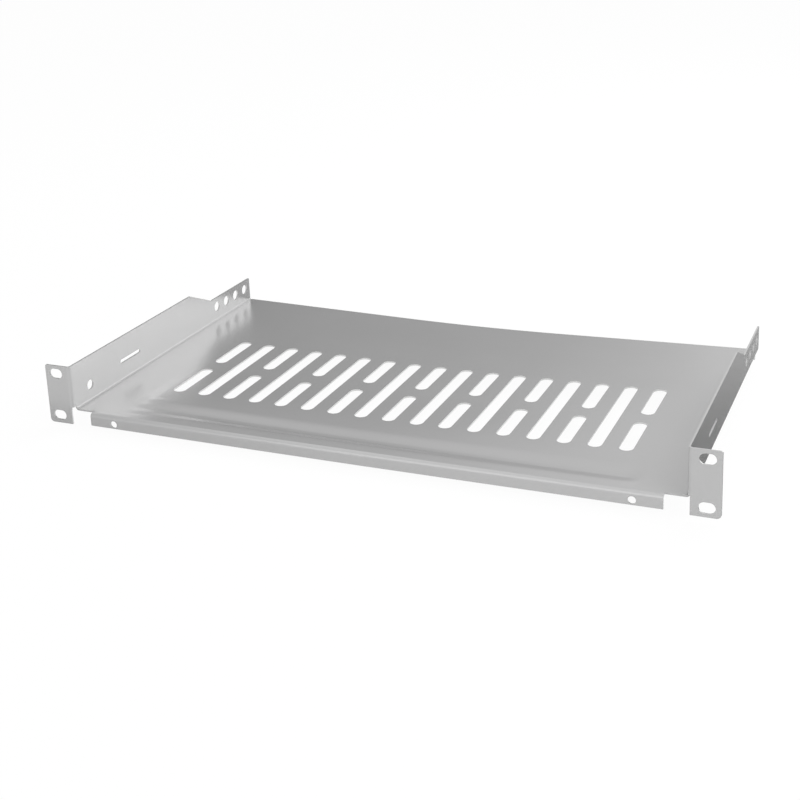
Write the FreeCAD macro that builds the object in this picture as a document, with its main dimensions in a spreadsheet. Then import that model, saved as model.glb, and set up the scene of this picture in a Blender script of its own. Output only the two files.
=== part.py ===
import FreeCAD, Part
import math
import os
import types

import Sketcher
from FreeCAD import Placement, Rotation, Vector

# A shelf one rack unit high for a 19 inch frame, cut and folded from one steel sheet.
# The sketches count from the middle of the width (x), the front face of the ears (y, to the rear)
# and the bottom edge of the ears (z, up). The placement of the body then puts the origin at the middle
# of the four rack slots, on the back of the ears, where they meet the rails.

document = FreeCAD.newDocument("RackShelf")
sheet = document.addObject("Spreadsheet::Sheet", "Sizes")

# Driving dimensions in millimetres: alias, size, what it measures
DRIVING_SIZES = [
    ("sheet_thickness", 1.2, "thickness of the steel"),
    ("bend_inside", 1.5, "inside radius of every fold"),
    ("ear_span", 482.6, "width over the ears"),
    ("ear_width", 19.5, "side wall to the outer edge of an ear"),
    ("unit_height", 44.0, "height of the ears and of the walls' front part"),
    ("overall_depth", 267.0, "front of the ears to the back of the rear lip"),
    ("deck_height", 10.4, "top of the deck beside the walls, above the bottom of the ears"),
    ("lip_drop", 9.3, "top of the deck to the bottom edge of a lip"),
    ("crown_half", 70.0, "half the width of the rounded middle of the bowed deck"),
    ("bow_front", 0.55, "how far the deck hangs in the middle at the front lip"),
    ("bow_crease", 1.5, "how far it hangs at the soft crease behind the lip"),
    ("bow_rear", 4.3, "how far it hangs at the rear lip"),
    ("crease_setback", 22.4, "front of the ears to the soft crease"),
    ("notch_width", 15.4, "side wall to the end of the front lip"),
    ("notch_depth", 4.5, "front of the ears to the back of the corner notch"),
    ("notch_top", 12.7, "bottom of the ears to the top of the corner notch"),
    ("notch_round", 1.8, "radius in the corner of the notch"),
    ("tab_clearance", 0.5, "wall face to the inner edge of the ear below the notch"),
    ("ear_corner_low", 3.0, "radius of the ear's lower outer corner"),
    ("ear_corner_high", 1.2, "radius of the ear's upper outer corner"),
    ("rack_slot_inset", 8.75, "outer edge of an ear to the middle of its rack slots"),
    ("rack_slot_rise", 31.75, "rack slots, lower to upper"),
    ("rack_slot_length", 10.4, "length of a rack slot"),
    ("rack_slot_width", 7.2, "width of a rack slot"),
    ("lip_hole_inset", 19.3, "end of the front lip to the hole in it"),
    ("lip_hole_rise", 4.2, "bottom of the ears to the lip holes"),
    ("lip_hole_diameter", 5.2, "diameter of a lip hole"),
    ("wall_hole_setback", 22.8, "front of the ears to the round hole in a wall"),
    ("wall_hole_rise", 22.2, "bottom of the ears to that hole"),
    ("wall_hole_diameter", 7.3, "diameter of that hole"),
    ("wall_slot_setback", 76.0, "front of the ears to the middle of the tie slot in a wall"),
    ("wall_slot_rise", 25.0, "bottom of the ears to the tie slot"),
    ("wall_slot_length", 27.2, "length of the tie slot"),
    ("wall_slot_width", 3.0, "width of the tie slot"),
    ("rear_hole_inset", 11.9, "back of the rear lip to the last of the rear wall holes"),
    ("rear_hole_pitch", 15.875, "spacing of the rear wall holes"),
    ("rear_hole_rise", 22.0, "bottom of the ears to the rear wall holes"),
    ("rear_hole_diameter", 8.3, "diameter of a rear wall hole"),
    ("low_wall_length", 68.0, "back of the rear lip to the foot of the step in a wall"),
    ("step_run", 32.6, "length of the sloping step, front to rear"),
    ("low_wall_height", 29.8, "bottom of the ears to the top of the low wall"),
    ("step_round", 3.0, "radius of both corners of the step"),
    ("wall_corner", 1.0, "radius of the rear upper corner of a wall"),
    ("vent_setback", 56.4, "front of the ears to the front ends of the vent slots"),
    ("vent_width", 9.7, "width of a vent slot"),
    ("vent_short", 48.0, "length of a short vent slot"),
    ("vent_bridge", 13.9, "steel between two short vent slots in line"),
    ("vent_pitch", 21.1, "spacing of neighbouring columns of vent slots"),
]
REAR_HOLE_COUNT = 4
SHORT_COLUMNS = 9
LONG_COLUMNS = SHORT_COLUMNS - 1
CUT_MARGIN = 2.0


class Length:
    """A size with its number now and the formula that keeps it bound to the sheet."""

    def __init__(self, number, formula):
        self.number = number
        self.formula = formula

    def combine(self, other, sign, number):
        return Length(number, f"({self.formula} {sign} {as_length(other).formula})")

    def __add__(self, other):
        return self.combine(other, "+", self.number + as_length(other).number)

    def __sub__(self, other):
        return self.combine(other, "-", self.number - as_length(other).number)

    def __mul__(self, other):
        return self.combine(other, "*", self.number * as_length(other).number)

    def __truediv__(self, other):
        return self.combine(other, "/", self.number / as_length(other).number)

    def __neg__(self):
        return Length(-self.number, f"(-{self.formula})")


def as_length(value):
    return value if isinstance(value, Length) else Length(float(value), repr(float(value)))


def root(length):
    return Length(math.sqrt(length.number), f"sqrt({length.formula})")


size = types.SimpleNamespace()
for row, (alias, number, meaning) in enumerate(DRIVING_SIZES, start=1):
    sheet.set(f"A{row}", meaning)
    sheet.set(f"B{row}", str(number))
    sheet.setAlias(f"B{row}", alias)
    setattr(size, alias, Length(number, f"Sizes.{alias}"))
document.recompute()

# Places that several features share
thickness = size.sheet_thickness
bend_outside = size.bend_inside + thickness
ear_outer = size.ear_span / 2
wall_outer = ear_outer - size.ear_width
wall_inner = wall_outer - thickness
side_bend_start = wall_inner - size.bend_inside
deck_rear = size.overall_depth - bend_outside
ear_bend_end = wall_inner + bend_outside
tab_edge = wall_outer + size.tab_clearance
front_lip_end = wall_outer - size.notch_width
lip_hole_x = front_lip_end - size.lip_hole_inset
rack_slot_x = ear_outer - size.rack_slot_inset
rack_slot_low = (size.unit_height - size.rack_slot_rise) / 2
step_foot = size.overall_depth - size.low_wall_length
step_top = step_foot - size.step_run
last_rear_hole = size.overall_depth - size.rear_hole_inset
vent_long = size.vent_short * 2 + size.vent_bridge

body = document.addObject("PartDesign::Body", "RackShelfBody")
body.Label = "rack_shelf"
ORIGIN = {feature.Role: feature for feature in body.Origin.OriginFeatures}


def bind(item, name, length):
    """Set a property and tie it to the sheet."""
    item.setExpression(name, length.formula)


def new_sketch(name, plane, offset=None):
    """A sketch on a plane of the body, moved along the plane's normal by the offset."""
    sketch = body.newObject("Sketcher::SketchObject", name)
    sketch.AttachmentSupport = (ORIGIN[plane], [""])
    sketch.MapMode = "FlatFace"
    if offset is not None:
        sketch.AttachmentOffset = Placement(Vector(0, 0, offset.number), Rotation())
        bind(sketch, "AttachmentOffset.Base.z", offset)
    return sketch


def pin(sketch, geometry, end, across, up):
    """Hold one point of the sketch at its two distances from the sketch's origin."""
    for kind, length in (("DistanceX", across), ("DistanceY", up)):
        length = as_length(length)
        index = sketch.addConstraint(Sketcher.Constraint(kind, -1, 1, geometry, end, length.number))
        bind(sketch, f"Constraints[{index}]", length)


def set_radius(sketch, geometry, radius):
    index = sketch.addConstraint(Sketcher.Constraint("Radius", geometry, radius.number))
    bind(sketch, f"Constraints[{index}]", radius)


def arc_from(first, last, radius, turn):
    """The arc from one point to another, turning left (1) or right (-1), and which end comes first."""
    chord = last - first
    middle = (first + last) * 0.5
    left = Vector(-chord.y, chord.x, 0).normalize()
    reach = math.sqrt(radius ** 2 - (chord.Length / 2) ** 2)
    centre = middle + left * (reach * turn)
    start, stop = (first, last) if turn > 0 else (last, first)
    angles = [math.atan2(point.y - centre.y, point.x - centre.x) for point in (start, stop)]
    arc = Part.ArcOfCircle(Part.Circle(centre, Vector(0, 0, 1), radius), *angles)
    return arc, ((1, 2) if turn > 0 else (2, 1))


def draw_chain(sketch, points, rounds, closed=True):
    """Join pinned points by lines, or by arcs where rounds gives the radius and turn of an edge."""
    places = [Vector(as_length(across).number, as_length(up).number, 0) for across, up in points]
    count = len(points) if closed else len(points) - 1
    ends = []
    for index in range(count):
        first = places[index]
        last = places[(index + 1) % len(points)]
        if index in rounds:
            radius, turn = rounds[index]
            arc, order = arc_from(first, last, radius.number, turn)
            geometry = sketch.addGeometry(arc, False)
            ends.append((geometry, order))
        else:
            geometry = sketch.addGeometry(Part.LineSegment(first, last), False)
            ends.append((geometry, (1, 2)))
    for index in range(count if closed else count - 1):
        geometry, order = ends[index]
        following, following_order = ends[(index + 1) % count]
        sketch.addConstraint(
            Sketcher.Constraint("Coincident", geometry, order[1], following, following_order[0])
        )
    for index, (across, up) in enumerate(points):
        if index < count:
            pin(sketch, ends[index][0], ends[index][1][0], across, up)
        else:
            pin(sketch, ends[-1][0], ends[-1][1][1], across, up)
    for index, (radius, turn) in rounds.items():
        set_radius(sketch, ends[index][0], radius)


def draw_slot(sketch, first, last, width):
    """A slot with round ends, centred on the line between two points; it runs level or upright."""
    radius = width / 2
    upright = first[0] is last[0]
    turn = math.pi / 2 if upright else 0.0
    centres = [Vector(as_length(point[0]).number, as_length(point[1]).number, 0) for point in (last, first)]
    arcs = []
    for number, centre in enumerate(centres):
        start = turn - math.pi / 2 + number * math.pi
        circle = Part.Circle(centre, Vector(0, 0, 1), radius.number)
        arcs.append(sketch.addGeometry(Part.ArcOfCircle(circle, start, start + math.pi), False))
    side = Vector(math.cos(turn - math.pi / 2), math.sin(turn - math.pi / 2), 0) * radius.number
    far, near = centres
    lines = [
        sketch.addGeometry(Part.LineSegment(far - side, near - side), False),
        sketch.addGeometry(Part.LineSegment(near + side, far + side), False),
    ]
    for arc, line in ((arcs[0], lines[0]), (arcs[1], lines[1])):
        sketch.addConstraint(Sketcher.Constraint("Tangent", arc, 2, line, 1))
    for line, arc in ((lines[0], arcs[1]), (lines[1], arcs[0])):
        sketch.addConstraint(Sketcher.Constraint("Tangent", line, 2, arc, 1))
    pin(sketch, arcs[0], 3, *last)
    pin(sketch, arcs[1], 3, *first)
    set_radius(sketch, arcs[0], radius)


def draw_circle(sketch, across, up, diameter):
    centre = Vector(as_length(across).number, as_length(up).number, 0)
    circle = Part.Circle(centre, Vector(0, 0, 1), diameter.number / 2)
    geometry = sketch.addGeometry(circle, False)
    pin(sketch, geometry, 3, across, up)
    set_radius(sketch, geometry, diameter / 2)


def finish_feature(feature, grows):
    """Recompute, and make sure that the feature added steel or took some away."""
    body.Tip = feature
    document.recompute()
    base = feature.BaseFeature
    change = feature.Shape.Volume - (base.Shape.Volume if base else 0.0)
    if (change <= 0) if grows else (change >= 0):
        raise RuntimeError(f"{feature.Name} changed the volume by {change:.3f} mm3")
    print(f"{feature.Name}: {change:+.1f} mm3")
    return feature


def pad(name, sketch, length, reverse=False):
    feature = body.newObject("PartDesign::Pad", name)
    feature.Profile = sketch
    feature.Type = "Length"
    feature.Length = length.number
    bind(feature, "Length", length)
    feature.Reversed = reverse
    sketch.Visibility = False
    return finish_feature(feature, grows=True)


def pocket(name, sketch, length=None):
    """Cut to a length behind the sketch, or right through both walls where no length is given."""
    feature = body.newObject("PartDesign::Pocket", name)
    feature.Profile = sketch
    if length is None:
        feature.Type = "ThroughAll"
        feature.Midplane = True
    else:
        feature.Type = "Length"
        feature.Length = length.number
        bind(feature, "Length", length)
    sketch.Visibility = False
    return finish_feature(feature, grows=False)


def row_of(name, feature, axis, pitch, count, reverse=False):
    """Repeat a cut along an axis of the body."""
    pattern = body.newObject("PartDesign::LinearPattern", name)
    pattern.Originals = [feature]
    pattern.Direction = (ORIGIN[axis], [""])
    pattern.Reversed = reverse
    pattern.Length = (pitch * (count - 1)).number
    bind(pattern, "Length", pitch * (count - 1))
    pattern.Occurrences = count
    return finish_feature(pattern, grows=False)


def round_edges(name, wanted, radius):
    """Round the straight edges that pass the test."""
    base = body.Tip
    names = [
        f"Edge{number}"
        for number, edge in enumerate(base.Shape.Edges, start=1)
        if len(edge.Vertexes) == 2 and wanted(*[vertex.Point for vertex in edge.Vertexes])
    ]
    feature = body.newObject("PartDesign::Fillet", name)
    feature.Base = (base, names)
    feature.Radius = radius.number
    bind(feature, "Radius", radius)
    body.Tip = feature
    document.recompute()
    print(f"{name}: {len(names)} edges")
    return feature


# The bowed deck. Each cross-section has two straight flanks that fall to a rounded middle, so the deck
# hangs like a shallow valley. The flanks run tangent into the side bends.
class Section:
    def __init__(self, bow):
        self.slope = bow / (side_bend_start - size.crown_half / 2)
        stretch = root(self.slope * self.slope + 1)
        self.sine = self.slope / stretch
        cosine = as_length(1) / stretch
        self.bend_centre = size.deck_height + size.bend_inside
        self.inner_x = side_bend_start + size.bend_inside * self.sine
        self.inner_z = self.bend_centre - size.bend_inside * cosine
        self.outer_x = side_bend_start + bend_outside * self.sine
        self.crown_radius = size.crown_half / self.sine

    def top_at(self, across):
        """Height of the deck's top on a flank."""
        return self.inner_z - self.slope * (self.inner_x - across)


def draw_section(name, setback, section):
    """The whole U: wall, bend, flank, rounded middle, flank, bend, wall, as a closed band of steel."""
    sketch = new_sketch(name, "XZ_Plane", -setback)
    crown = size.crown_half
    right_side = [
        (crown, section.top_at(crown) - thickness),
        (section.outer_x, section.top_at(section.outer_x) - thickness),
        (wall_outer, section.bend_centre),
        (wall_outer, size.unit_height),
        (wall_inner, size.unit_height),
        (wall_inner, section.bend_centre),
        (section.inner_x, section.inner_z),
        (crown, section.top_at(crown)),
    ]
    left_side = [(-across, up) for across, up in reversed(right_side)]
    rounds = {
        1: (bend_outside, 1),
        5: (size.bend_inside, -1),
        7: (section.crown_radius, -1),
        9: (size.bend_inside, -1),
        13: (bend_outside, 1),
        15: (section.crown_radius, 1),
    }
    draw_chain(sketch, right_side + left_side, rounds)
    return sketch


front_section = Section(size.bow_front)
crease_section = Section(size.bow_crease)
rear_section = Section(size.bow_rear)
front_sketch = draw_section("FrontSection", bend_outside, front_section)
crease_sketch = draw_section("CreaseSection", size.crease_setback, crease_section)
rear_sketch = draw_section("RearSection", deck_rear, rear_section)
document.recompute()

tray = body.newObject("PartDesign::AdditiveLoft", "BowedTray")
tray.Profile = front_sketch
tray.Sections = [crease_sketch, rear_sketch]
tray.Ruled = True
finish_feature(tray, grows=True)


# The lips: a quarter bend and a flat strip, carried along the bowed edge of the deck.
def draw_lip_path(name, setback, section, half_length):
    sketch = new_sketch(name, "XZ_Plane", -setback)
    crown = size.crown_half
    points = [
        (-half_length, section.top_at(half_length)),
        (-crown, section.top_at(crown)),
        (crown, section.top_at(crown)),
        (half_length, section.top_at(half_length)),
    ]
    draw_chain(sketch, points, {1: (section.crown_radius, 1)}, closed=False)
    return sketch


def draw_lip_profile(name, section, half_length, deck_edge, to_rear):
    """The lip seen from its end. It leaves the deck's edge and turns down, to the front or to the rear."""
    sketch = new_sketch(name, "YZ_Plane", -half_length)
    top = section.top_at(half_length)
    bend_centre = top - bend_outside
    bottom = top - size.lip_drop

    def away(distance):
        return deck_edge + distance if to_rear else deck_edge - distance

    points = [
        (deck_edge, top),
        (away(bend_outside), bend_centre),
        (away(bend_outside), bottom),
        (away(size.bend_inside), bottom),
        (away(size.bend_inside), bend_centre),
        (deck_edge, top - thickness),
    ]
    turn = -1 if to_rear else 1
    draw_chain(sketch, points, {0: (bend_outside, turn), 4: (size.bend_inside, -turn)})
    return sketch


def sweep_lip(name, section, half_length, deck_edge, to_rear):
    path = draw_lip_path(f"{name}Path", deck_edge, section, half_length)
    profile = draw_lip_profile(f"{name}Profile", section, half_length, deck_edge, to_rear)
    document.recompute()
    lip = body.newObject("PartDesign::AdditivePipe", name)
    lip.Profile = profile
    lip.Spine = (path, ["Edge1", "Edge2", "Edge3"])
    lip.Mode = "Fixed"
    path.Visibility = False
    profile.Visibility = False
    return finish_feature(lip, grows=True)


sweep_lip("FrontLip", front_section, front_lip_end, bend_outside, to_rear=False)
sweep_lip("RearLip", rear_section, side_bend_start, deck_rear, to_rear=True)

# The right ear: a flat plate with a narrow tab that reaches down past the deck, and the bend that joins
# the plate to the front edge of the wall above the corner notch.
plate_sketch = new_sketch("EarOutline", "XZ_Plane")
draw_chain(
    plate_sketch,
    [
        (tab_edge, 0),
        (ear_outer, 0),
        (ear_outer, size.unit_height),
        (ear_bend_end, size.unit_height),
        (ear_bend_end, size.notch_top),
        (tab_edge, size.notch_top),
    ],
    {},
)
ear_plate = pad("EarPlate", plate_sketch, thickness, reverse=True)

bend_sketch = new_sketch("EarBendSection", "XY_Plane", size.notch_top)
draw_chain(
    bend_sketch,
    [
        (wall_inner, bend_outside),
        (ear_bend_end, 0),
        (ear_bend_end, thickness),
        (wall_outer, bend_outside),
    ],
    {0: (bend_outside, 1), 2: (size.bend_inside, -1)},
)
ear_bend = pad("EarBend", bend_sketch, size.unit_height - size.notch_top)

rack_slot_sketch = new_sketch("RackSlots", "XZ_Plane")
slot_reach = (size.rack_slot_length - size.rack_slot_width) / 2
for height in (rack_slot_low, rack_slot_low + size.rack_slot_rise):
    draw_slot(
        rack_slot_sketch,
        (rack_slot_x - slot_reach, height),
        (rack_slot_x + slot_reach, height),
        size.rack_slot_width,
    )
ear_slots = pocket("EarSlots", rack_slot_sketch, thickness)

# The notch between the front lip and the ear, with a round relief in its upper corner.
notch_sketch = new_sketch("NotchOutline", "YZ_Plane", tab_edge)
margin = as_length(CUT_MARGIN)
draw_chain(
    notch_sketch,
    [
        (-margin, -margin),
        (size.notch_depth, -margin),
        (size.notch_depth, size.notch_top - size.notch_round),
        (size.notch_depth - size.notch_round, size.notch_top),
        (-margin, size.notch_top),
    ],
    {2: (size.notch_round, 1)},
)
notch = pocket("CornerNotch", notch_sketch, tab_edge - front_lip_end)

left_ear = body.newObject("PartDesign::Mirrored", "LeftEar")
left_ear.Originals = [ear_plate, ear_bend, ear_slots, notch]
left_ear.MirrorPlane = (ORIGIN["YZ_Plane"], [""])
finish_feature(left_ear, grows=True)

# The walls fall from full height to a low rear part, over a sloping step.
step_sketch = new_sketch("StepOutline", "YZ_Plane")
behind = size.overall_depth + margin
above = size.unit_height + margin
draw_chain(
    step_sketch,
    [
        (step_top, size.unit_height),
        (step_foot, size.low_wall_height),
        (behind, size.low_wall_height),
        (behind, above),
        (step_top, above),
    ],
    {},
)
pocket("WallStep", step_sketch)

# Holes in both walls: one near the front, a tie slot, and a row of four at the rear.
wall_hole_sketch = new_sketch("WallOpenings", "YZ_Plane")
draw_circle(wall_hole_sketch, size.wall_hole_setback, size.wall_hole_rise, size.wall_hole_diameter)
tie_reach = (size.wall_slot_length - size.wall_slot_width) / 2
draw_slot(
    wall_hole_sketch,
    (size.wall_slot_setback - tie_reach, size.wall_slot_rise),
    (size.wall_slot_setback + tie_reach, size.wall_slot_rise),
    size.wall_slot_width,
)
pocket("WallHoles", wall_hole_sketch)

rear_hole_sketch = new_sketch("RearHole", "YZ_Plane")
draw_circle(rear_hole_sketch, last_rear_hole, size.rear_hole_rise, size.rear_hole_diameter)
rear_hole = pocket("LastRearHole", rear_hole_sketch)
row_of("RearHoles", rear_hole, "Y_Axis", size.rear_hole_pitch, REAR_HOLE_COUNT, reverse=True)

lip_hole_sketch = new_sketch("LipHole", "XZ_Plane")
for side in (1, -1):
    draw_circle(lip_hole_sketch, lip_hole_x * side, size.lip_hole_rise, size.lip_hole_diameter)
pocket("LipHoles", lip_hole_sketch, thickness)

# Vent slots in the deck: columns of two short slots in line take turns with one long slot.
vent_radius = size.vent_width / 2
vent_cut = size.deck_height + margin


def cut_vents(name, column_x, starts, length, count):
    sketch = new_sketch(f"{name}Outline", "XY_Plane", vent_cut)
    for start in starts:
        draw_slot(
            sketch,
            (column_x, start + vent_radius),
            (column_x, start + length - vent_radius),
            size.vent_width,
        )
    column = pocket(f"{name}Column", sketch, vent_cut)
    row_of(f"{name}Row", column, "X_Axis", size.vent_pitch * 2, count, reverse=True)


cut_vents(
    "ShortVents",
    size.vent_pitch * (SHORT_COLUMNS - 1),
    (size.vent_setback, size.vent_setback + size.vent_short + size.vent_bridge),
    size.vent_short,
    SHORT_COLUMNS,
)
cut_vents(
    "LongVents", size.vent_pitch * (LONG_COLUMNS - 1), (size.vent_setback,), vent_long, LONG_COLUMNS
)


# Rounded corners of the cut outline
def near(number, length):
    return abs(number - length.number) < 1e-4


def across_sheet_at(outward, up):
    """An edge through the ear's thickness at a corner of the ear."""
    def wanted(first, last):
        return all(near(abs(point.x), outward) and near(point.z, up) for point in (first, last))
    return wanted


def across_wall_at(setback, up):
    """An edge through a wall's thickness at a corner of its side view."""
    def wanted(first, last):
        return all(near(point.y, setback) and near(point.z, up) for point in (first, last))
    return wanted


round_edges("LowEarCorners", across_sheet_at(ear_outer, as_length(0)), size.ear_corner_low)
round_edges("HighEarCorners", across_sheet_at(ear_outer, size.unit_height), size.ear_corner_high)
round_edges("StepTopCorners", across_wall_at(step_top, size.unit_height), size.step_round)
round_edges("StepFootCorners", across_wall_at(step_foot, size.low_wall_height), size.step_round)
round_edges("RearWallCorners", across_wall_at(deck_rear, size.low_wall_height), size.wall_corner)

# The origin moves to the middle of the rack slots, on the back of the ears.
body.Placement = Placement(Vector(0, -thickness.number, -size.unit_height.number / 2), Rotation())
bind(body, "Placement.Base.y", -thickness)
bind(body, "Placement.Base.z", -(size.unit_height / 2))
document.recompute()

for item in document.Objects:
    if "Invalid" in item.State or "Error" in item.State:
        raise RuntimeError(f"{item.Name} failed: {item.State}")
shape = body.Shape
if shape.isNull() or not shape.isValid() or len(shape.Solids) != 1:
    raise RuntimeError("the shelf isn't one valid solid")

os.makedirs("parts", exist_ok=True)
shape.exportStep(f"parts/{body.Label}.step")
box = shape.BoundBox
print(f"volume {shape.Volume:.0f} mm3, faces {len(shape.Faces)}")
print(f"box x {box.XMin:.2f} {box.XMax:.2f}  y {box.YMin:.2f} {box.YMax:.2f}  z {box.ZMin:.2f} {box.ZMax:.2f}")
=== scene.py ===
# %% [markdown]
# # A rack shelf in light grey paint
# The real object is a shelf for a server rack. It is cut from one steel sheet, folded along all four sides
# and painted. Its shape comes finished from the construction program, so nothing on it is modelled here:
# this lesson places the camera, builds a small photo studio and mixes the paint. All lengths are metres. The
# origin is the middle of the four rack slots, on the back of the ears. x runs to the right, y to the rear
# and z up.

# %% Load the shelf
import math

import bpy
from mathutils import Matrix, Vector


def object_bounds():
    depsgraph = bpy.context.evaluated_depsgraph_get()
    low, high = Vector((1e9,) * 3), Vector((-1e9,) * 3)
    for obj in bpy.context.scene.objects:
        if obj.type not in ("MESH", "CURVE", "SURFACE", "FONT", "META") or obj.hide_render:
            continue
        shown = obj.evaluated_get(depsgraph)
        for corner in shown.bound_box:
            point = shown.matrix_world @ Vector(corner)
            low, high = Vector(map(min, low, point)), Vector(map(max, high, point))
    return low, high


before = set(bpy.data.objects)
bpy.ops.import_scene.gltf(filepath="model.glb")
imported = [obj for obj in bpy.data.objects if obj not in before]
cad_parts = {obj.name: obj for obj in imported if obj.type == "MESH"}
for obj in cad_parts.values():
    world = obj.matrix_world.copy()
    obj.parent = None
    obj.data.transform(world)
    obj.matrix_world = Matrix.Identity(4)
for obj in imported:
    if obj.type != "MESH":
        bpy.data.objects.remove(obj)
cad_low, cad_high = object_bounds()
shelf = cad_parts["rack_shelf"]
print("shelf:", len(shelf.data.polygons), "faces, from", tuple(cad_low), "to", tuple(cad_high))

# %% [markdown]
# ## The camera
# The photographer stood to the right of the shelf and looked down on it. A camera can be placed by eye, but
# here its place was worked out: the slots and holes lie known distances apart, and from where they fall in
# the picture follows where the lens was. Then the holes of the render fall on those in the photograph, or
# a pixel or two beside them. Upright edges lean less in the photograph than under a camera that is only
# tilted, as with a lens that is shifted down too, so this lens is shifted and the camera tilted less. Rows
# of the picture count from its top, and the axis row is the one that the lens axis meets.

# %% Camera
PICTURE_WIDTH = 800
MIDDLE_ROW = 400.0
AXIS_ROW = 240.0
SENSOR = 36.0
FOCAL_PIXELS = 1383.0
AZIMUTH = math.radians(23.344)
ELEVATION = math.radians(15.953)
ROLL = math.radians(2.306)
CAMERA_PLACE = Vector((0.36648, -0.75649, 0.37133))
WORLD_UP = Vector((0, 0, 1))

level_part = math.cos(ELEVATION)
back = Vector((math.sin(AZIMUTH) * level_part, -math.cos(AZIMUTH) * level_part, math.sin(ELEVATION)))
level_right = (-back).cross(WORLD_UP).normalized()
level_up = level_right.cross(-back)
right = level_right * math.cos(ROLL) - level_up * math.sin(ROLL)
up = level_right * math.sin(ROLL) + level_up * math.cos(ROLL)

camera_data = bpy.data.cameras.new("photo_camera")
camera = bpy.data.objects.new("photo_camera", camera_data)
bpy.context.scene.collection.objects.link(camera)
camera_data.sensor_width = SENSOR
camera_data.lens = FOCAL_PIXELS / PICTURE_WIDTH * SENSOR
camera_data.shift_y = (AXIS_ROW - MIDDLE_ROW) / PICTURE_WIDTH
camera.matrix_world = Matrix.Translation(CAMERA_PLACE) @ Matrix((right, up, back)).transposed().to_4x4()
bpy.context.scene.camera = camera
print(f"lens {camera_data.lens:.1f} mm, shift {camera_data.shift_y:.2f}")

# %% [markdown]
# ## The lamps
# The photograph has even light, as from two soft boxes: one behind the shelf on the right, and one in front
# on the right, which makes the inside of the left wall bright. A soft box could be a glowing card, but an
# area lamp is easier to set and leaves less noise. The lamps are weak enough that a white card would just
# look white, so the paint shows its own grey. Mirror rays don't see them: the paint is a half mirror, and
# the lamps would burn white patches into it from some sides. It mirrors the cards further down instead.

# %% Lamps
def soft_box(name, place, target, side, watts):
    """A square lamp that faces its target."""
    data = bpy.data.lights.new(name, "AREA")
    data.shape = "SQUARE"
    data.size = side
    data.energy = watts
    lamp = bpy.data.objects.new(name, data)
    bpy.context.scene.collection.objects.link(lamp)
    lamp.location = place
    lamp.rotation_mode = "QUATERNION"
    lamp.rotation_quaternion = (target - place).to_track_quat("-Z", "Y")
    lamp.visible_glossy = False
    print(f"{name}: {watts} W, {side} m square")


BOX_SIDE = 1.2
REAR_WATTS = 12.6
REAR_PLACE = Vector((0.50, 1.00, 1.20))
REAR_TARGET = Vector((0.0, 0.12, 0.0))
FRONT_WATTS = 9.1
FRONT_PLACE = Vector((1.30, -0.50, 0.95))
FRONT_TARGET = Vector((-0.10, 0.12, 0.0))
soft_box("rear_box", REAR_PLACE, REAR_TARGET, BOX_SIDE, REAR_WATTS)
soft_box("front_box", FRONT_PLACE, FRONT_TARGET, BOX_SIDE, FRONT_WATTS)

# %% [markdown]
# ## Writing shader sums
# A finish is a small calculation that runs at every point of a surface. Its nodes can be wired one by one,
# but sums are easier to read as sums. `Value` wraps the output of a node, and each operator on it adds the
# Math node that does the work. Every other node comes from one method, `Finish.add`, so that all of them
# are made in the same way.

# %% A socket that can be used in sums
class Value:
    def __init__(self, finish, socket):
        self.finish = finish
        self.socket = socket

    def output(self, name):
        """Another output of the same node."""
        return Value(self.finish, self.socket.node.outputs[name])

    def combine(self, operation, first, second):
        return self.finish.add("ShaderNodeMath", {"operation": operation}, {0: first, 1: second})

    def __add__(self, other):
        return self.combine("ADD", self, other)

    def __radd__(self, other):
        return self.combine("ADD", other, self)

    def __sub__(self, other):
        return self.combine("SUBTRACT", self, other)

    def __rsub__(self, other):
        return self.combine("SUBTRACT", other, self)

    def __mul__(self, other):
        return self.combine("MULTIPLY", self, other)

    def __rmul__(self, other):
        return self.combine("MULTIPLY", other, self)


# %% A finish, and the one way to add a node to it
class Finish:
    def __init__(self, owner):
        owner.use_nodes = True
        self.owner = owner
        self.tree = owner.node_tree
        self.tree.nodes.clear()

    def add(self, kind, settings=None, inputs=None, output=0):
        """Make a node: its settings first, then its sockets by name or number. Returns one output."""
        node = self.tree.nodes.new(kind)
        for name, setting in (settings or {}).items():
            setattr(node, name, setting)
        for key, source in (inputs or {}).items():
            if isinstance(source, Value):
                self.tree.links.new(source.socket, node.inputs[key])
            else:
                node.inputs[key].default_value = source
        return Value(self, node.outputs[output]) if node.outputs else None


# %% [markdown]
# ## A white that isn't more light
# The photograph's background is pure white. Stronger lamps would make it so, but they would bleach the
# paint as well. So the white is only shown: rays from the camera, from a mirror and through glass meet a
# strength of 1, and the light that falls on the shelf stays lower. The table is mixed in the same way. A
# small part of it stays a matt white that the lamps light, and that part carries the shelf's shadow.

# %% World
def grey(level):
    """A colour with the same red, green and blue."""
    return (level, level, level, 1.0)


def shown(finish):
    """1 for rays that show a thing, straight, mirrored or through glass, and 0 for rays that light."""
    path = finish.add("ShaderNodeLightPath", output="Is Camera Ray")
    return path + path.output("Is Glossy Ray") + path.output("Is Transmission Ray")


WHITE = grey(1.0)
SHOWN_WHITE = 1.0
WORLD_LEVEL = 0.76
world = bpy.data.worlds.new("studio_air")
bpy.context.scene.world = world
air = Finish(world)
strength = WORLD_LEVEL + shown(air) * (SHOWN_WHITE - WORLD_LEVEL)
glow = air.add("ShaderNodeBackground", None, {"Color": WHITE, "Strength": strength})
air.add("ShaderNodeOutputWorld", None, {"Surface": glow})
print("world:", WORLD_LEVEL, "as light,", SHOWN_WHITE, "as background")

# %% Table
TABLE_GAP = 0.0005
TABLE_HALF = 6.0
TABLE_WHITE = 0.9
TABLE_GLOW = 0.95


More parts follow.
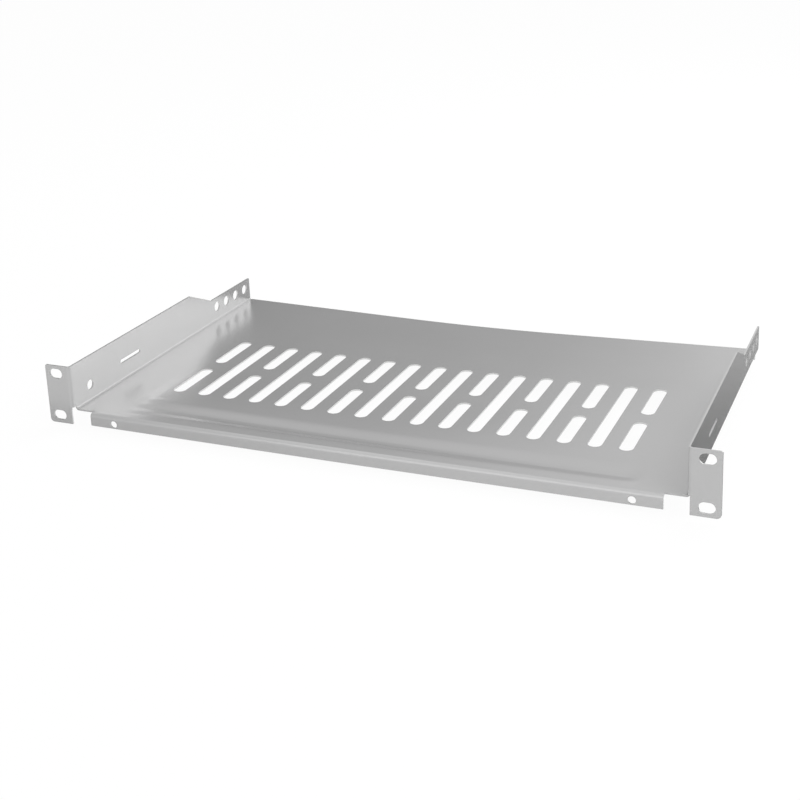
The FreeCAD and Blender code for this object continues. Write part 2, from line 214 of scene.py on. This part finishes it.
def flat_sheet(name, corners, finish):
    """One four-cornered face that isn't part of the shelf."""
    mesh = bpy.data.meshes.new(name)
    mesh.from_pydata(corners, [], [(0, 1, 2, 3)])
    mesh.materials.append(finish.owner)
    sheet = bpy.data.objects.new(name, mesh)
    bpy.context.scene.collection.objects.link(sheet)
    return sheet


def lying(x_low, x_high, y_low, y_high, z):
    """The corners of a level sheet."""
    return [(x_low, y_low, z), (x_high, y_low, z), (x_high, y_high, z), (x_low, y_high, z)]


table_height = cad_low.z - TABLE_GAP
table_paint = Finish(bpy.data.materials.new("table_white"))
matt = table_paint.add("ShaderNodeBsdfDiffuse", None, {"Color": grey(TABLE_WHITE)})
glow = table_paint.add("ShaderNodeEmission", None, {"Color": WHITE, "Strength": SHOWN_WHITE})
mixed = table_paint.add("ShaderNodeMixShader", None, {0: shown(table_paint) * TABLE_GLOW, 1: matt, 2: glow})
table_paint.add("ShaderNodeOutputMaterial", None, {"Surface": mixed})
flat_sheet("table", lying(-TABLE_HALF, TABLE_HALF, -TABLE_HALF, TABLE_HALF, table_height), table_paint)
print(f"table at {table_height:.4f} m")

# %% [markdown]
# ## Cards for the reflections
# A satin sheet looks dull in a room that is white all round. A photographer hangs grey cards outside the
# picture and lets the sheet mirror them. That gives the deck its long gradient, dark on the left and light
# on the right. A painted gradient would do it for one view only, but a mirrored card moves over the sheet
# with the viewer, as it should. Only mirror rays see the cards, so they don't show and throw no shadow. Each
# card glows with a strength of 1, and its colour says how bright it is: a plain number that is linked to a
# colour socket becomes a grey of that brightness, and above 1 it is brighter than white.

# %% A card
def card(name, corners, brightness):
    """A card for mirror rays. brightness is a number, or a function that makes a gradient in a finish."""
    finish = Finish(bpy.data.materials.new(name))
    colour = brightness(finish) if callable(brightness) else grey(brightness)
    glow = finish.add("ShaderNodeEmission", None, {"Color": colour, "Strength": SHOWN_WHITE})
    finish.add("ShaderNodeOutputMaterial", None, {"Surface": glow})
    sheet = flat_sheet(name, corners, finish)
    sheet.visible_camera = False
    sheet.visible_diffuse = False
    sheet.visible_shadow = False
    print("card:", name)


def upright(x_low, x_high, y, bottom, top):
    """The corners of a sheet that stands across the room."""
    return [(x_low, y, bottom), (x_high, y, bottom), (x_high, y, top), (x_low, y, top)]


# %% Where the cards hang
ROOM_LEFT = -3.0
ROOM_RIGHT = 1.6
ROOM_FRONT = -1.5
ROOM_REAR = 1.2
ROOM_TOP = 1.6
EAR_WIDTH = 0.0195
CARD_GAP = 0.001
floor = table_height + CARD_GAP
beside = cad_high.x - EAR_WIDTH + CARD_GAP
behind = cad_high.y + CARD_GAP
print(f"cards on the table start {beside:.4f} m beside and {behind:.4f} m behind the middle of the slots")

# %% [markdown]
# ## The card behind the shelf
# The deck mirrors this card most. It is dark on the left and lighter towards the right, and higher up the
# change starts further left, as in the photograph. Its far right is brightest: the camera sees that part
# twice mirrored, in the left wall and then in the deck beside it, which makes the bright band there. Its
# foot is greyer, because the small dent behind the lip mirrors it and would turn too dark. Its top is a
# plain grey for the start of the rounded front fold. Right of the middle the top is darker, because the
# fold at the foot of the left wall mirrors that place and would shine.

# %% Soft steps and places
def fade(finish, value, start, end):
    """0 up to start, 1 from end on, and a soft slope between them."""
    return finish.add(
        "ShaderNodeMapRange",
        {"interpolation_type": "SMOOTHSTEP"},
        {"Value": value, "From Min": start, "From Max": end},
    )


def axis(finish, name):
    """One coordinate of the place on an object, X, Y or Z, in metres, as it was modelled."""
    place = finish.add("ShaderNodeTexCoord", output="Object")
    return finish.add("ShaderNodeSeparateXYZ", None, {0: place}, output=name)


# %% Rear card
REAR_DARK = 0.038
REAR_START = -0.30
REAR_END = 0.68
REAR_GAIN = 0.80
HIGH_FROM = 0.25
HIGH_TO = 0.60
HIGH_START_SHIFT = -0.82
HIGH_END_SHIFT = -0.39
HIGH_GAIN_LOSS = 0.19
FAR_RIGHT_FROM = -0.12
FAR_RIGHT_TO = 0.50
FAR_RIGHT_GAIN = 0.64
FOOT_GREY = 0.215
FOOT_FULL = 0.20
FOOT_END = 0.34
TOP_GREY = 0.475
TOP_FROM = 0.60
TOP_TO = 0.90
TOP_RIGHT_DROP = 0.20
TOP_RIGHT_FROM = 0.0
TOP_RIGHT_TO = 0.2


def rear_gradient(finish):
    """Dark on the left, light on the right, grey along the foot and the top."""
    x = axis(finish, "X")
    z = axis(finish, "Z")
    high = fade(finish, z, HIGH_FROM, HIGH_TO)
    across = fade(finish, x, REAR_START + high * HIGH_START_SHIFT, REAR_END + high * HIGH_END_SHIFT)
    lit = REAR_DARK + across * (REAR_GAIN - high * HIGH_GAIN_LOSS)
    lit = lit + fade(finish, x, FAR_RIGHT_FROM, FAR_RIGHT_TO) * FAR_RIGHT_GAIN
    lit = lit + (1 - fade(finish, z, FOOT_FULL, FOOT_END)) * FOOT_GREY
    top = fade(finish, z, TOP_FROM, TOP_TO)
    top_level = TOP_GREY - fade(finish, x, TOP_RIGHT_FROM, TOP_RIGHT_TO) * TOP_RIGHT_DROP
    return lit * (1 - top) + top_level * top


card("rear_card", upright(ROOM_LEFT, ROOM_RIGHT, ROOM_REAR, floor, ROOM_TOP), rear_gradient)

# %% [markdown]
# ## The cards on the table
# Upright faces mirror what lies on the table. The outer face of the right wall is dark near its ear and
# lighter towards the rear, and a grey sheet beside it that grows lighter gives it that. The lip and the
# ears get their mid grey from a sheet in front, and further off that sheet is darker. The sheet behind the
# shelf is for the faces that look to the rear, which only other views show.

# %% Cards on the table
BEHIND_GREY = 0.22
SIDE_FROM = 0.05
SIDE_TO = 0.40
SIDE_GREY = 0.32
LIP_GAP = 0.002
NEAR_FRONT = -0.30
FAR_GREY = 0.15
FRONT_GREY = 0.60
FRONT_DROP = 0.18
DROP_LEFT = -0.25
DROP_RIGHT = 0.20
DROP_FRONT = -0.05
DROP_REAR = -0.02


def side_gradient(finish):
    """Black beside the front of the wall, grey towards the rear."""
    return fade(finish, axis(finish, "Y"), SIDE_FROM, SIDE_TO) * SIDE_GREY


def front_gradient(finish):
    """Mid grey, and a little darker right below the left half of the lip."""
    left = 1 - fade(finish, axis(finish, "X"), DROP_LEFT, DROP_RIGHT)
    near = fade(finish, axis(finish, "Y"), DROP_FRONT, DROP_REAR)
    return FRONT_GREY - left * near * FRONT_DROP


card("behind_card", lying(ROOM_LEFT, beside, behind, ROOM_REAR, floor), BEHIND_GREY)
card("side_card", lying(beside, ROOM_RIGHT, CARD_GAP, ROOM_REAR, floor), side_gradient)
card("front_card", lying(-ROOM_RIGHT, ROOM_RIGHT, NEAR_FRONT, -LIP_GAP, floor), front_gradient)
card("far_front_card", lying(-ROOM_RIGHT, ROOM_RIGHT, ROOM_FRONT, NEAR_FRONT, floor), FAR_GREY)

# %% [markdown]
# ## The ceiling and the front wall
# The rounded front fold mirrors everything from the ceiling down to the table, and its highlight is
# brightest low on the round. So the wall in front is lighter than the ceiling. Both are darker in the left
# corner, where the photograph's highlight fades out.

# %% Ceiling and front wall
CORNER_LEFT = -1.2
CORNER_RIGHT = -0.7
CEILING_DARK = 0.42
CEILING_GAIN = 0.24
FRONT_WALL_DARK = 0.45
FRONT_WALL_GAIN = 0.47


def lighter_to_the_right(dark, gain):
    """A gradient function: dark in the left corner of the room, and lighter by gain from there on."""
    def gradient(finish):
        return dark + fade(finish, axis(finish, "X"), CORNER_LEFT, CORNER_RIGHT) * gain

    return gradient


ceiling_gradient = lighter_to_the_right(CEILING_DARK, CEILING_GAIN)
front_wall_gradient = lighter_to_the_right(FRONT_WALL_DARK, FRONT_WALL_GAIN)
card("ceiling", lying(ROOM_LEFT, ROOM_RIGHT, ROOM_FRONT, ROOM_REAR, ROOM_TOP), ceiling_gradient)
card("front_wall", upright(ROOM_LEFT, ROOM_RIGHT, ROOM_FRONT, floor, ROOM_TOP), front_wall_gradient)

# %% [markdown]
# ## What the press left in the deck
# The deck of the real shelf isn't quite flat along its front. The press that folded the lip left a shallow
# dent about 15 mm behind the front edge and a low, wide ridge behind the dent, and at the left end the sheet
# is a little rippled. All of it is less than a millimetre high and shows only as a change of shade, so it
# needs no geometry. A height that changes with the place on the sheet goes to a Bump node, which tilts the
# shading by the small angle that the real sheet tilts.

# %% A hump
def hump(finish, value, rise, fall):
    """0, a soft slope up between the two numbers of rise, 1, and a soft slope down between those of fall."""
    return fade(finish, value, *rise) * (1 - fade(finish, value, *fall))


# %% Height of the sheet, in metres
LEAD_START = 0.0
LEAD_RISE = 0.0003
DENT_START = 0.0105
DENT_FOOT = 0.0170
DENT_DEPTH = 0.00058
DENT_RUN_IN = (-0.175, -0.125)
DENT_RUN_OUT = (0.178, 0.190)
RIDGE_TOP = 0.0370
RIDGE_END = 0.1100
RIDGE_HEIGHT = 0.0009
RIDGE_RUN_IN = (-0.188, -0.176)
RIDGE_RUN_OUT = (0.040, 0.190)
RIPPLE_HEIGHT = 0.00011
RIPPLE_PITCH = 0.0115
RIPPLE_RUN_OUT = (-0.176, -0.160)
RIPPLE_FRONT = (0.004, 0.010)
RIPPLE_REAR = (0.036, 0.046)


def dent_height(finish, x, y):
    """A slight rise behind the fold, a short slope down into the dent, and a longer one up again."""
    rise = fade(finish, y, LEAD_START, DENT_START) * LEAD_RISE
    down = fade(finish, y, DENT_START, DENT_FOOT) * DENT_DEPTH
    again = fade(finish, y, DENT_FOOT, RIDGE_TOP) * (DENT_DEPTH - LEAD_RISE)
    return (rise - down + again) * hump(finish, x, DENT_RUN_IN, DENT_RUN_OUT)


def ridge_height(finish, x, y):
    """A wide swelling behind the dent, long from left to right."""
    ridge = hump(finish, y, (DENT_FOOT, RIDGE_TOP), (RIDGE_TOP, RIDGE_END)) * RIDGE_HEIGHT
    return ridge * hump(finish, x, RIDGE_RUN_IN, RIDGE_RUN_OUT)


def ripple_height(finish, x, y):
    """A few small waves at the left end of the dent."""
    wave = finish.add("ShaderNodeMath", {"operation": "SINE"}, {0: y * (math.tau / RIPPLE_PITCH)})
    wave = wave * hump(finish, y, RIPPLE_FRONT, RIPPLE_REAR)
    return wave * hump(finish, x, RIDGE_RUN_IN, RIPPLE_RUN_OUT) * RIPPLE_HEIGHT


# %% [markdown]
# ## The paint
# The sheet is sprayed with a light grey paint that dries to a satin shine. Bare steel would mirror more
# sharply and show the lines of the rolling mill, and a plain grey would miss the wide soft reflections. So
# the shader is set between the two, as for a paint with fine metal flakes. Seen close, such paint has a
# faint orange peel, and its tone and shine drift a little from place to place. The shine stays below a
# roughness of 0.27: where it crosses that value, the renderer's noise filter leaves faint lines.

# %% Mixing two colours
MIX_FACTOR = 0
MIX_FIRST = 6
MIX_SECOND = 7
MIX_RESULT = 2


def mixed_colour(finish, factor, first, second):
    """The first colour where factor is 0 and the second where it is 1, from the Mix node's colour sockets."""
    inputs = {MIX_FACTOR: factor, MIX_FIRST: first, MIX_SECOND: second}
    return finish.add("ShaderNodeMix", {"data_type": "RGBA"}, inputs, output=MIX_RESULT)


# %% Paint
PAINT_GREY = 0.66
TONE_DRIFT = 0.0198
CLOUDS_PER_METRE = 14.0
CLOUD_DETAIL = 3.0

paint = Finish(bpy.data.materials.new("grey_paint"))
place = paint.add("ShaderNodeTexCoord", output="Object")
cloud = paint.add(
    "ShaderNodeTexNoise", None, {"Vector": place, "Scale": CLOUDS_PER_METRE, "Detail": CLOUD_DETAIL}
)
colour = mixed_colour(paint, cloud, grey(PAINT_GREY - TONE_DRIFT), grey(PAINT_GREY + TONE_DRIFT))
print("paint: grey", PAINT_GREY, "give or take", TONE_DRIFT)

# %% [markdown]
# ## Painted shade inside the folds
# The steep half of each fold at the foot of a wall faces both lamps and would render as a light line, so
# that half gets a darker grey, which is painted shade. The two long folds lie equally far left and right of
# the middle, so that distance, without its sign, is all that is needed. The four shade numbers are distances
# from the inner face of a wall, towards the middle of the shelf: there the painted shade starts, is full, is
# still full, and has ended.

# %% Painted shade inside the folds
SHEET = 0.0012
# Painted shade: the darker grey that the steep half of each fold gets, so that lamp light shows no line
# there.
FOLD_SHADE_GREY = 0.50
SHADE_START = 0.0007
SHADE_FULL = 0.0003
SHADE_UNTIL = 0.0001
SHADE_END = 0.00002

wall_inside = cad_high.x - EAR_WIDTH - SHEET
shade_rise = (wall_inside - SHADE_START, wall_inside - SHADE_FULL)
shade_fall = (wall_inside - SHADE_UNTIL, wall_inside - SHADE_END)
from_middle = paint.add("ShaderNodeMath", {"operation": "ABSOLUTE"}, {0: axis(paint, "X")})
# Mixes the painted shade into the paint's colour on the steep half of each fold.
colour = mixed_colour(paint, hump(paint, from_middle, shade_rise, shade_fall), colour, grey(FOLD_SHADE_GREY))
# Prints the grey of the painted shade and how far from the middle it reaches.
print(f"paint in the folds: grey {FOLD_SHADE_GREY}, up to {wall_inside:.4f} m from the middle")

# %% [markdown]
# ## The relief
# Two things change the height of the surface: what the press left in the sheet, and the orange peel of the
# paint, which is a fine noise. Both are added up in metres, and one Bump node turns the sum into shading.
# Its distance is 1, so that a height of 0.001 stands for a millimetre.

# %% Relief
PEEL_PER_METRE = 500.0
PEEL_DETAIL = 2.0
PEEL_HEIGHT = 0.00002
BUMP_STRENGTH = 1.0
BUMP_DISTANCE = 1.0

along = axis(paint, "X")
across = axis(paint, "Y")
pressed = dent_height(paint, along, across) + ridge_height(paint, along, across)
pressed = pressed + ripple_height(paint, along, across)
peel = paint.add(
    "ShaderNodeTexNoise", None, {"Vector": place, "Scale": PEEL_PER_METRE, "Detail": PEEL_DETAIL}
)
height = pressed + peel * PEEL_HEIGHT
relief = paint.add(
    "ShaderNodeBump", None, {"Strength": BUMP_STRENGTH, "Distance": BUMP_DISTANCE, "Height": height}
)
print("relief: dent", DENT_DEPTH, "m deep, ridge", RIDGE_HEIGHT, "m high")

# %% [markdown]
# ## The shader
# One Principled shader holds the whole paint. What differs from place to place is linked to it: the tone,
# the shine and the relief. What is the same all over is a number on its own socket. The finished material
# then goes into each slot that the shelf came with.

# %% Shader
PAINT_METAL = 0.65
PAINT_IOR = 1.5
PAINT_SHINE = 0.245
SHINE_DRIFT = 0.02

skin = paint.add(
    "ShaderNodeBsdfPrincipled",
    None,
    {
        "Base Color": colour,
        "Roughness": PAINT_SHINE + cloud * SHINE_DRIFT,
        "Metallic": PAINT_METAL,
        "IOR": PAINT_IOR,
        "Normal": relief,
    },
)
paint.add("ShaderNodeOutputMaterial", None, {"Surface": skin})
for slot in shelf.material_slots:
    slot.material = paint.owner
print("painted", len(shelf.material_slots), "slot")

# %% [markdown]
# ## The colour view
# The colours go to the picture as they are, through the Standard view.

# %% Finish
bpy.context.scene.view_settings.view_transform = "Standard"
